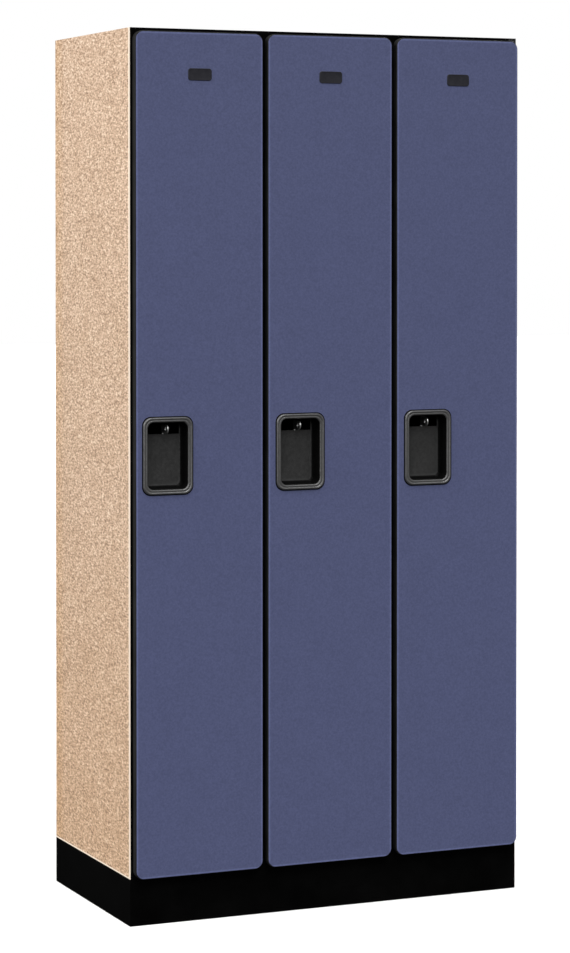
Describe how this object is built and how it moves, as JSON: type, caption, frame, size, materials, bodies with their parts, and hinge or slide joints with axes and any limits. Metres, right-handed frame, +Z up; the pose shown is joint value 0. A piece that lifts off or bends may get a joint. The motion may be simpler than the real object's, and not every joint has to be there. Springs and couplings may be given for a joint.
{
  "type": "locker cabinet",
  "caption": "Free-standing laminate locker cabinet with full-height hinged doors, recessed pulls with padlock eyes, hat shelves and coat rods on a flush plinth.",
  "frame": {"origin": "on the floor, under the middle of the bounding box", "axes": "+Z up, -Y towards the doors' front, +X to the right seen from the front"},
  "size_m": [0.9334, 0.508, 1.9304],
  "materials": {
    "black_board": "matt black laminated board",
    "maple_laminate": "fine-flecked tan maple laminate",
    "door_core": "black routed edge, satin",
    "blue_laminate": "blue-grey laminate, matt",
    "plate_plastic": "black engraving plastic, blank",
    "pull_plastic": "moulded black plastic, fine texture",
    "zinc_steel": "bright zinc-plated",
    "nickel_steel": "nickel-plated",
    "chrome": "polished",
    "black_screw": "black oxide",
    "rubber": "soft clear-grey"
  },
  "bodies": {
    "cabinet": {"plinth_front": "black_board", "plinth_back": "black_board", "plinth_left": "black_board", "plinth_right": "black_board", "plinth_cross_1": "black_board", "plinth_cross_2": "black_board", "floor_panel": "black_board", "top_panel": "black_board", "left_side": "black_board", "left_side_laminate": "maple_laminate", "right_side": "black_board", "partition_1": "black_board", "partition_2": "black_board", "back_panel": "black_board", "carcass_screws": "black_screw", "back_screws": "black_screw", "shelf_pegs": "nickel_steel", "hinge_arm_screws": "nickel_steel", "padlock_eye_screws": "nickel_steel", "coat_hook_screws": "nickel_steel", "rod_sockets": "chrome", "hinge_plates": "nickel_steel", "hinge_arms": "nickel_steel", "hat_shelf_1": "black_board", "coat_rod_1": "chrome", "coat_hook_1": "chrome", "padlock_eye_1": "zinc_steel", "hat_shelf_2": "black_board", "coat_rod_2": "chrome", "coat_hook_2": "chrome", "padlock_eye_2": "zinc_steel", "hat_shelf_3": "black_board", "coat_rod_3": "chrome", "coat_hook_3": "chrome", "padlock_eye_3": "zinc_steel"},
    "door_1": {"door_1_panel": "door_core", "door_1_face": "blue_laminate", "door_1_number_plate": "plate_plastic", "door_1_pull": "pull_plastic", "door_1_hinge_leaves": "nickel_steel", "door_1_hinge_pins": "nickel_steel", "door_1_bumpers": "rubber", "door_1_screws": "nickel_steel"},
    "door_2": {"door_2_panel": "door_core", "door_2_face": "blue_laminate", "door_2_number_plate": "plate_plastic", "door_2_pull": "pull_plastic", "door_2_hinge_leaves": "nickel_steel", "door_2_hinge_pins": "nickel_steel", "door_2_bumpers": "rubber", "door_2_screws": "nickel_steel"},
    "door_3": {"door_3_panel": "door_core", "door_3_face": "blue_laminate", "door_3_number_plate": "plate_plastic", "door_3_pull": "pull_plastic", "door_3_hinge_leaves": "nickel_steel", "door_3_hinge_pins": "nickel_steel", "door_3_bumpers": "rubber", "door_3_screws": "nickel_steel"}
  },
  "joints": [
    {"name": "door_1_hinge", "type": "hinge", "parent": "cabinet", "child": "door_1", "pos_m": [-0.17097, -0.24, 1.01315], "axis": [0, 0, 1], "range_deg": [0, 100]},
    {"name": "door_2_hinge", "type": "hinge", "parent": "cabinet", "child": "door_2", "pos_m": [0.14017, -0.24, 1.01315], "axis": [0, 0, 1], "range_deg": [0, 100]},
    {"name": "door_3_hinge", "type": "hinge", "parent": "cabinet", "child": "door_3", "pos_m": [0.45472, -0.24, 1.01315], "axis": [0, 0, 1], "range_deg": [0, 100]}
  ]
}
